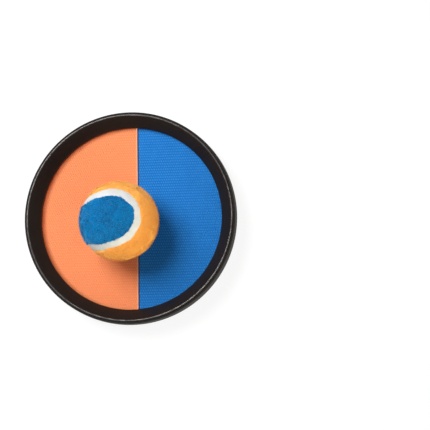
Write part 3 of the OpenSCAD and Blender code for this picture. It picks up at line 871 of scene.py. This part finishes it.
def ground(name, side):
    """Half of the fabric's disc, cut just beside the seam."""
    disc = lathe(name, [(r, 0.0) for r in np.linspace(0.0, FABRIC_R - 0.1, 46)], 160)
    edit(disc)
    cut = Vector(((SEAM_X + side * SEAM_GAP) * MM, 0.0, 0.0))
    bpy.ops.mesh.bisect(plane_co=cut, plane_no=(side, 0.0, 0.0), clear_inner=True)
    close()
    tidy_mesh(disc)
    for v in disc.data.vertices:
        v.co.z = ground_z(v.co.x / MM, v.co.y / MM) * MM
    apply(disc, "SOLIDIFY", thickness=CLOTH_T * MM, offset=0.0)
    smooth(40)
    return disc


cloth_orange = ground("cloth_orange", -1)
cloth_blue = ground("cloth_blue", 1)
dress(cloth_orange, orange_cloth, "paddle", "hook_orange", "face_orange")
dress(cloth_blue, blue_cloth, "paddle", "hook_blue", "face_blue")

# %% [markdown]
# The hooks stand in level rows, and each row is shifted a little against the last.
# They come in pairs that look opposite ways, as on real fabric, so that the ball holds in both directions.
# Along the cut edges there are none.

# %% Hooks on the face
HOOK = [(0.0, 0.0, -0.06), (0.0, 0.0, 0.30), (0.10, 0.0, 0.49)]
HOOK += [(0.30, 0.0, 0.56), (0.48, 0.0, 0.46), (0.53, 0.0, 0.31)]
HOOK_THICK, EDGE_FREE, RIM_FREE, PAIR_X, PAIR_Y = 0.46, 1.3, 0.3, 0.56, 0.3


def hook_field(name, side):
    """All the hooks on one half of the face."""
    row, column, way = np.mgrid[-36:37, -60:61, 0:2].reshape(3, -1)
    x = column * PITCH + (row * SHIFT) % PITCH + (way - 0.5) * PAIR_X
    y = row * ROW - (way - 0.5) * PAIR_Y
    keep = (np.hypot(x, y) < FACE_R - RIM_FREE) & (side * (x - SEAM_X) > EDGE_FREE)
    x, y, way = x[keep], y[keep], way[keep]
    x = x + rng.normal(0.0, 0.06, len(x))
    y = y + rng.normal(0.0, 0.06, len(x))
    facing = pi / 2 + way * pi + rng.normal(0.0, 0.22, len(x))
    places = np.stack([x, y, ground_z(x, y) + CLOTH_T / 2], 1)
    size = rng.uniform(0.93, 1.02, len(x))
    return spread(name, tube("one_hook", HOOK, HOOK_THICK), places, turned(facing, size))


hooks_orange = dress(hook_field("hooks_orange", -1), orange_wire, "paddle", "hook_orange")
hooks_blue = dress(hook_field("hooks_blue", 1), blue_wire, "paddle", "hook_blue")

# %% [markdown]
# Each half has a thin raised bead along the seam, whose relief catches real light. Their colours are painted
# light: a pale painted highlight on the orange half, and a nearly black painted shadow in the joint on the
# blue half. A bead is a long bar with rounded edges.

# %% Beads along the seam, with a painted highlight and a painted shadow
BEAD_CUTS, BEAD_LIFT, BEAD_SHORT, WOBBLE = 60, 0.06, 0.6, 0.04


def bead(name, x, width, height):
    """A bead beside the seam, cut into short lengths that each lie a little aside."""
    half = sqrt(FABRIC_R ** 2 - SEAM_X ** 2) - BEAD_SHORT
    obj = block(name, (width, 2 * half, height), (x, 0.0, FOAM_TOP + TAPE_T + height / 2 + BEAD_LIFT))
    soften(obj, 0.24, 3)
    for y in np.linspace(-0.985, 0.985, BEAD_CUTS) * half * MM:
        edit(obj)
        bpy.ops.mesh.bisect(plane_co=(0.0, y, 0.0), plane_no=(0.0, 1.0, 0.0))
        close()
    for v in obj.data.vertices:
        y = v.co.y / MM
        v.co.x += WOBBLE * (sin(y * 0.9) + sin(y * 2.3 + 1.0)) * MM
    smooth(50)
    return obj


edge_orange = dress(bead("edge_orange", SEAM_X - 0.52, 0.8, 0.66), orange_painted_highlight, "paddle", "hook_orange")
edge_blue = dress(bead("edge_blue", SEAM_X + 0.58, 0.92, 0.52), blue_painted_shadow, "paddle", "hook_blue")

# %% [markdown]
# ## The hand strap
# Behind the floor, two lengths of webbing go round the bars and close on each other with hook and loop tape.
# Each length is one strip: along the strap, round its bar, and back to where it is sewn down.
# Webbing is too thin to simulate, so a grid is laid along that path and given its thickness with Solidify.

# %% The path of the webbing
WEB_W, WEB_T, TIP_R, WEB_PLAY = 38.0, 1.2, 6.0, 0.03
ROOT_LEN, LEVEL_LEN, FOLD_LEN, FOLD_START = 6.0, 30.5, 22.0, 7.4
LOOP_R, LOOP_FROM, LOOP_TO = BAR_R + 0.25 + WEB_T / 2, -66, -294
INNER_Z, OUTER_Z, INNER_LEN, OUTER_LEN = 4.2, 1.2, 76.5, 84.5


def fall(level):
    """How steeply the webbing leaves its bar, to end at a level."""
    return (BAR_Z - WEB_T / 2 - level) / (ROOT_LEN + (LEVEL_LEN - ROOT_LEN) / 2)


def web_point(s, off, level):
    """A point at a distance s from the bar, and off above the webbing's middle."""
    f = fall(level)
    bend = LEVEL_LEN - ROOT_LEN
    if s < ROOT_LEN:
        z, d = BAR_Z - WEB_T / 2 - f * s, -f
    elif s < LEVEL_LEN:
        z, d = level + f * (LEVEL_LEN - s) ** 2 / bend / 2, -f * (LEVEL_LEN - s) / bend
    else:
        z, d = level, 0.0
    n = sqrt(1 + d * d)
    return np.array([s - off * d / n, z + off / n])


def web_path(length, level):
    """The strip's middle line, from the tip along the strap, round the bar and back over the fold."""
    tilt = -atan(fall(level))
    line = [web_point(s, 0.0, level) for s in np.linspace(length, FOLD_START, 60)]
    for a in np.linspace(radians(LOOP_FROM), radians(LOOP_TO), 25):
        q, h = LOOP_R * cos(a), LOOP_R * sin(a)
        line.append(np.array([q * cos(tilt) - h * sin(tilt), BAR_Z + q * sin(tilt) + h * cos(tilt)]))
    back = [web_point(s, WEB_T + WEB_PLAY, level) for s in np.linspace(FOLD_START, FOLD_LEN, 14)]
    return np.array(line + back)


print("webbing round the bar has a radius of", round(LOOP_R, 2), "mm")

# %% Lay both strips
HALVES = {"inner": (-BAR_Y, 1.0), "outer": (BAR_Y, -1.0)}
LANES, STEPS = 16, 150


def strap_strip(name, half, length, level):
    """A strip of webbing with a rounded tip, laid along its path on one half of the strap."""
    line = web_path(length, level)
    run = np.concatenate([[0.0], np.cumsum(np.linalg.norm(np.diff(line, axis=0), axis=1))])
    strip = grid(name, LANES, STEPS)
    bar_at, way = HALVES[half]
    uv = strip.data.uv_layers.active.data
    for loop in strip.data.loops:
        v = strip.data.vertices[loop.vertex_index].co
        uv[loop.index].uv = (v.x * WEB_W * MM, v.y * run[-1] * MM)
    for v in strip.data.vertices:
        u, d = v.co.x, (v.co.y + 0.5) ** 1.15 * run[-1]
        wide = WEB_W / 2
        if d < TIP_R:
            wide += sqrt(TIP_R ** 2 - (TIP_R - d) ** 2) - TIP_R
        s, z = np.interp(d, run, line[:, 0]), np.interp(d, run, line[:, 1])
        v.co = Vector((2 * u * wide, bar_at + way * s, z)) * MM
    apply(strip, "SOLIDIFY", thickness=WEB_T * MM, offset=0.0)
    return soften(tidy_mesh(strip), 0.3, 2, 50)


inner = strap_strip("webbing_inner", "inner", INNER_LEN, INNER_Z)
outer = strap_strip("webbing_outer", "outer", OUTER_LEN, OUTER_Z)
dress(inner, webbing_cloth, "paddle", "webbing", "strap_inner")
dress(outer, webbing_cloth, "strap_flap", "webbing", "strap_outer")

# %% [markdown]
# The closing patches are rectangles of black tape: hooks on the outer length, soft loops on the inner one.
# Their ground is a thin sheet, and the hooks and loops are copies of one modelled piece each.

# %% Ground of the patches
PATCH_W, PATCH_LEN, PATCH_Y0, PATCH_T, PATCH_PLAY = 35.0, 43.0, -22.5, 0.3, 0.01
hook_low, loop_high = OUTER_Z + WEB_T / 2, INNER_Z - WEB_T / 2


def patch_ground(name, z):
    """A thin sheet at a height."""
    obj = sized(grid(name, 12, 14), (PATCH_W, PATCH_LEN, 1.0), (0.0, PATCH_Y0 + PATCH_LEN / 2, z))
    apply(obj, "SOLIDIFY", thickness=PATCH_T * MM, offset=0.0)
    return soften(obj, 0.1, 1, 50)


patch_hooks = patch_ground("hook_patch_ground", hook_low + PATCH_T / 2 + PATCH_PLAY)
patch_loops = patch_ground("loop_patch_ground", loop_high - PATCH_T / 2 - PATCH_PLAY)
dress(patch_hooks, black_cloth, "strap_flap", "hook_tape", "hook_patch")
dress(patch_loops, black_cloth, "paddle", "loop_pile", "loop_patch")

# %% Hooks and loops of the patches
SMALL_THICK, LOOP_THICK, LOOP_WIDE, LOOP_HIGH = 0.26, 0.14, 0.62, 0.46


def patch_places(pitch, row, z):
    """Places in rows over a patch, each a little off."""
    xs = np.arange(-PATCH_W / 2 + 1.8, PATCH_W / 2 - 1.6, pitch)
    ys = np.arange(PATCH_Y0 + 2.0, PATCH_Y0 + PATCH_LEN - 1.8, row)
    x, y = [v.ravel() for v in np.meshgrid(xs, ys)]
    jitter = rng.normal(0.0, 0.07, (2, len(x)))
    return np.stack([x + jitter[0], y + jitter[1], np.full(len(x), z)], 1)


spots = patch_places(1.7, 1.5, hook_low + PATCH_T)
small_hook = tube("one_small_hook", [(0.85 * x, 0.0, 0.75 * z) for x, _, z in HOOK], SMALL_THICK)
facing = rng.choice([0.0, pi], len(spots)) + rng.normal(0.0, 0.25, len(spots))
small_hooks = spread("hook_patch_hooks", small_hook, spots, turned(facing, np.ones(len(spots))))
dress(small_hooks, black_wire, "strap_flap", "hook_tape")

spots = patch_places(1.35, 1.3, loop_high - PATCH_T)
arch = [(LOOP_WIDE * cos(a), 0.0, -LOOP_HIGH * sin(a)) for a in np.linspace(0.0, pi, 7)]
facing = rng.uniform(0.0, pi, len(spots))
size = rng.uniform(0.85, 1.0, len(spots))
loops = spread("loop_patch_loops", tube("one_loop", arch, LOOP_THICK), spots, turned(facing, size))
dress(loops, black_wire, "paddle", "loop_pile")

# %% [markdown]
# The strap is sewn with a crossed box at each bar and a plain box round each patch.
# One stitch is a short bar with rounded ends.
# It is copied end to end along each sewn line, turned to the webbing's slope.

# %% Stitches
STITCH, STITCH_GAP, STITCH_W, STITCH_H, STITCH_IN = 2.5, 0.6, 0.7, 0.5, 3.0
BAR_BOX, INNER_BOX, OUTER_BOX = (9.15, 20.95), (32.6, 73.4), (34.6, 75.4)
SURFACE_OFF, STITCH_ENDS = WEB_T / 2, (0.1, 0.9)


def sewn_lines(start, end, crossed):
    """Lines of a sewn box in the strap's plan, as pairs of points (x, s)."""
    w = WEB_W / 2 - STITCH_IN - STITCH_W / 2
    a, b, c, d = np.array([(-w, start), (w, start), (w, end), (-w, end)])
    return [(a, b), (b, c), (c, d), (d, a)] + ([(a, c), (b, d)] if crossed else [])


def stitches(name, half, level, jobs):
    """All the stitches of one half. A job is (start, end, crossed, height above the webbing's middle)."""
    bar_at, way = HALVES[half]
    ends = []
    for start, end, crossed, off in jobs:
        for a, b in sewn_lines(start, end, crossed):
            count = max(1, int(np.linalg.norm(b - a) // (STITCH + STITCH_GAP)))
            for f in (np.arange(count)[:, None] + STITCH_ENDS).ravel() / count:
                x, s = a + (b - a) * f
                y, z = web_point(s, off, level)
                ends.append((way * x, bar_at + way * y, z))
    heads, tails = np.array(ends[0::2]), np.array(ends[1::2])
    ahead = unit(tails - heads)
    side = unit(np.cross([0.0, 0.0, 1.0], ahead))
    one = soften(block("one_stitch", (STITCH, STITCH_W, STITCH_H)), 0.2, 2)
    return spread(name, one, (heads + tails) / 2, np.stack([ahead, side, np.cross(ahead, side)], 2))


at_bar = (*BAR_BOX, True, -SURFACE_OFF)
sewn_inner = stitches("stitches_inner", "inner", INNER_Z, [at_bar, (*INNER_BOX, False, SURFACE_OFF)])
dress(sewn_inner, thread, "paddle", "thread", "strap_inner_stitch")
sewn_outer = stitches("stitches_outer", "outer", OUTER_Z, [at_bar, (*OUTER_BOX, False, -SURFACE_OFF)])
dress(sewn_outer, thread, "strap_flap", "thread", "strap_outer_stitch")

# %% [markdown]
# ## The felt ball
# The cover of the ball is two dumbbell shaped felt panels with a white band between them,
# along the curve of a tennis ball's seam. That curve isn't flat, so no cut through a sphere gives it.
# Instead a round plate is spun flat, and its points are wrapped onto the ball:
# the plate's edge follows the curve, and its middle becomes a line along the dumbbell.

# %% The curve of the seam
BALL_R, FELT_IN, BAND_W, BALL_AT = 32.5, 30.0, 6.5, np.array([-3.7, -6.4, 48.1])
WAVE, SPINE = 0.21, radians(95)
TURN = np.eye(3)
for degrees, axis in ((111.4, "Z"), (-41.7, "Y"), (-112.9, "X")):
    TURN = TURN @ np.array(Matrix.Rotation(radians(degrees), 3, axis))
FLIP = np.diag([1.0, -1.0, -1.0])


def seam_dirs(t, d):
    """Unit vectors at parameter t along the seam, d radians to its side."""
    a, b, c = 1 - WAVE, WAVE, 2 * sqrt(WAVE * (1 - WAVE))
    p = np.stack([a * np.cos(t) + b * np.cos(3 * t), a * np.sin(t) - b * np.sin(3 * t), c * np.sin(2 * t)], 1)
    v = np.stack([-a * np.sin(t) - 3 * b * np.sin(3 * t), a * np.cos(t) - 3 * b * np.cos(3 * t),
                  2 * c * np.cos(2 * t)], 1)
    return p * np.cos(d)[:, None] + unit(np.cross(p, v)) * np.sin(d)[:, None]


def onto_ball(dirs, radii, flipped=False):
    """Points on the ball as it lies on the paddle."""
    spun = (dirs @ FLIP if flipped else dirs) @ TURN.T
    return spun * np.asarray(radii)[:, None] + BALL_AT


def spine(t):
    """The line along the middle of a panel that the seam's point t looks at, as unit vectors."""
    a = SPINE * np.sin(t - pi / 4)
    return np.stack([-np.sin(a) * sqrt(0.5), np.sin(a) * sqrt(0.5), np.cos(a)], 1)


print("seam wave", WAVE)

# %% [markdown]
# The seam was glued by hand, so it swerves, and the panels were trimmed unevenly.
# Each swerve is a smooth bump: where along the seam and how widely, in degrees, and how far aside.
# The band follows the first list, and each panel has a list of its own as well.

# %% How the seam was glued
WANDER = [(14, 19, 5.3), (105, 14, -0.8), (180, 20, 1.2), (270, 9, 0.9), (305, 25, -0.35)]
BLUE_TRIM = [(352, 24, 0.8), (268, 7, -0.8), (284, 12, -0.8)]
BLUE_TRIM += [(305, 35, -0.6), (318, 9, -1.0), (120, 30, -0.7)]
ORANGE_TRIM = [(352, 24, 1.3), (271, 8, -1.1), (293, 9, -0.4), (318, 9, -0.7), (60, 12, -0.7)]
EDGE_PLAY = 0.15


def swerve(t, swerves):
    """How far the glueing by hand moved an edge."""
    aside = np.zeros_like(t)
    for middle, wide, far in swerves:
        away = (np.degrees(t) - middle + 180) % 360 - 180
        aside += far * np.exp(-(away / wide) ** 2)
    return aside


def ragged(t, seed):
    """An uneven cut edge."""
    slow = np.sin(7 * t + seed) * np.sin(17 * t + 2 * seed)
    return 0.4 * slow + 0.35 * np.sin(43 * t + seed) * np.sin(29 * t) + 0.2 * np.sin(83 * t + 3 * seed)


def edge_at(t, flipped, seed):
    """Distance from the curve of the seam to the edge of a panel. The flipped panel runs the other way."""
    along, way, trim = (-t, -1.0, ORANGE_TRIM) if flipped else (t, 1.0, BLUE_TRIM)
    return BAND_W / 2 + EDGE_PLAY + ragged(t, seed) + way * swerve(along, WANDER) + swerve(along, trim)


print("the seam swerves by up to", max(far for _, _, far in WANDER), "mm")

# %% Wrap the two panels
SURFACE, CORE_PLAY, EDGE_ROUND, EDGE_DROP, PANEL_STEPS = 32.1, 0.05, 1.5, 1.1, 264
RINGS = np.concatenate([np.linspace(0.005, 0.88, 26), [0.91, 0.935, 0.955, 0.97, 0.98, 0.988, 0.994, 1.0]])
BLUE_SEED, ORANGE_SEED = 1.0, 2.0


def edge_fall(inwards):
    """How far the rounded edge of the felt falls, at a distance inside it."""
    u = np.clip(1 - inwards / EDGE_ROUND, 0.0, 1.0)
    return EDGE_DROP * (1 - np.sqrt(np.maximum(0.0, 1 - u * u)))


def panel_dirs(t, k, flipped, seed):
    """Directions at a share k of the way from a panel's spine to its edge, and how far inside the edge."""
    edge, middle = seam_dirs(t, edge_at(t, flipped, seed) / BALL_R), spine(t)
    span = np.arccos(np.clip(np.sum(edge * middle, axis=1), -1, 1))
    parts = np.sin((1 - k) * span) / np.sin(span), np.sin(k * span) / np.sin(span)
    return middle * parts[0][:, None] + edge * parts[1][:, None], (1 - k) * span * BALL_R


def felt_panel(name, flipped, seed):
    """A round plate, 100 mm in radius and height, whose top becomes the felt's outside."""
    plate = [(100 * k, 100.0) for k in RINGS] + [(100.0, 0.0)]
    plate += [(100 * k, 0.0) for k in np.linspace(0.9, RINGS[0], 10)]
    panel = lathe(name, plate, PANEL_STEPS)
    co = np.array([v.co for v in panel.data.vertices]) / (100 * MM)
    k, t = np.hypot(co[:, 0], co[:, 1]), np.arctan2(co[:, 1], co[:, 0])
    dirs, inwards = panel_dirs(t, np.where(k < 0.01, 0.0, np.minimum(k, 1.0)), flipped, seed)
    x, y, z = dirs.T
    lumps = 0.15 * np.sin(x * 23 + seed) * np.sin(y * 19) * np.sin(z * 21 + 1)
    lumps += 0.45 * np.sin(x * 9 + 2) * np.sin(y * 8 + seed) * np.sin(z * 10)
    outside = SURFACE + lumps - edge_fall(inwards)
    points = onto_ball(dirs, np.where(co[:, 2] > 0.5, outside, FELT_IN + CORE_PLAY), flipped) * MM
    panel.data.vertices.foreach_set("co", points.ravel())
    tidy_mesh(panel)
    smooth(60)
    return panel


panel_blue = felt_panel("felt_panel_blue", False, BLUE_SEED)
dress(panel_blue, blue_felt, "ball", "felt_blue", "ball_felt_blue")
panel_orange = felt_panel("felt_panel_orange", True, ORANGE_SEED)
dress(panel_orange, orange_felt, "ball", "felt_orange", "ball_felt_orange")

# %% [markdown]
# The white band is the joint between the panels.
# It is a flat ring, wrapped in the same way, and it lies a little below the felt.
# Its flanks fall away and reach under the felt, so that the uneven edges of the panels never open a gap.

# %% Wrap the band
BAND_REACH, BAND_FLAT, BAND_SUNK, FLANK_DROP = BAND_W / 2 + 2.3, BAND_W / 2 - 0.4, 0.62, 0.8
profile = [(-1, 0), (-1, 1)] + [(w, 1) for w in np.linspace(-0.88, 0.88, 15)] + [(1, 1), (1, 0), (-1, 0)]
band = lathe("seam_band", [(100.0 + 10 * w, 10.0 * h) for w, h in profile], 240)
co = np.array([v.co for v in band.data.vertices]) / (10 * MM)
t = np.arctan2(co[:, 1], co[:, 0])
aside = (np.hypot(co[:, 0], co[:, 1]) - 10) * BAND_REACH
flank = np.clip((np.abs(aside) - BAND_FLAT) / (BAND_REACH - BAND_FLAT), 0.0, 1.0)
swell = 0.1 * np.sin(9 * t) * np.sin(31 * t + 1) - FLANK_DROP * flank ** 1.5
radii = np.where(co[:, 2] > 0.5, BALL_R - BAND_SUNK + swell, FELT_IN + CORE_PLAY)
band_dirs = seam_dirs(t, (aside + swerve(t, WANDER)) / BALL_R)
band.data.vertices.foreach_set("co", (onto_ball(band_dirs, radii) * MM).ravel())
soften(tidy_mesh(band), 0.15, 1, 50)
dress(band, white_band, "ball", "band", "ball_band")

# %% [markdown]
# Felt is never smooth: short fibres stand up all over it and soften its outline.
# One fibre is a thin bent spike with three sides. It is copied over each panel, leaning every way.

# %% Fuzz on the panels
FIBRE_R, FIBRES, ROOT_DEPTH, SEAM_SAMPLES, LEAN = 0.075, 15000, 0.1, 720, 0.75


def one_fibre():
    """A spike of three sides that bends over."""
    deselect()
    bpy.ops.mesh.primitive_circle_add(vertices=3, radius=FIBRE_R * MM, fill_type="NGON")
    fibre = named("one_fibre")
    edit(fibre)
    pull((0.12 * MM, 0.0, 0.62 * MM))
    bpy.ops.transform.resize(value=(0.75, 0.75, 1.0))
    pull((0.42 * MM, 0.0, 0.5 * MM))
    bpy.ops.mesh.merge(type="CENTER")
    close()
    return tidy_mesh(fibre)


def fuzz(name, flipped, seed):
    """Fibres all over a panel: of random directions, those that meet the panel are kept."""
    dirs = unit(rng.normal(0.0, 1.0, (FIBRES * 3, 3)))
    t = np.linspace(0.0, 2 * pi, SEAM_SAMPLES)
    near = np.argmax(dirs @ seam_dirs(t, np.zeros(SEAM_SAMPLES)).T, axis=1)
    beside = np.sum(dirs * seam_dirs(t, np.full(SEAM_SAMPLES, pi / 2))[near], axis=1)
    inwards = np.arcsin(np.clip(beside, -1, 1)) * BALL_R - edge_at(t[near], flipped, seed)
    kept = np.flatnonzero(inwards > 0.1)[:FIBRES]
    places = onto_ball(dirs[kept], SURFACE - ROOT_DEPTH - edge_fall(inwards[kept]), flipped)
    lean = unit(rng.normal(0.0, 1.0, (len(places), 3)))
    tip = unit(unit(places - BALL_AT) + LEAN * lean)
    side = unit(np.cross(tip, rng.normal(0.0, 1.0, (len(places), 3))))
    size = rng.uniform(0.6, 1.4, len(places))
    turns = np.stack([side, np.cross(tip, side), tip], 2) * size[:, None, None]
    return spread(name, one_fibre(), places, turns)


fuzz_blue = dress(fuzz("fuzz_blue", False, BLUE_SEED), blue_felt, "ball", "felt_blue")
fuzz_orange = dress(fuzz("fuzz_orange", True, ORANGE_SEED), orange_felt, "ball", "felt_orange")

# %% [markdown]
# ## Hidden pieces of the frame
# The rubber core and the bar screws are right as the CAD made them, and they sit out of sight,
# so they only get a finish.

# %% Finish the CAD pieces that stay
for node, material in (("ball_core_a", core_rubber), ("ball_core_b", core_rubber), ("bar_screws", plated)):
    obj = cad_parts[node]
    obj.data.materials.clear()
    obj.data.materials.append(material)
    print(node, "is finished with", material.name)
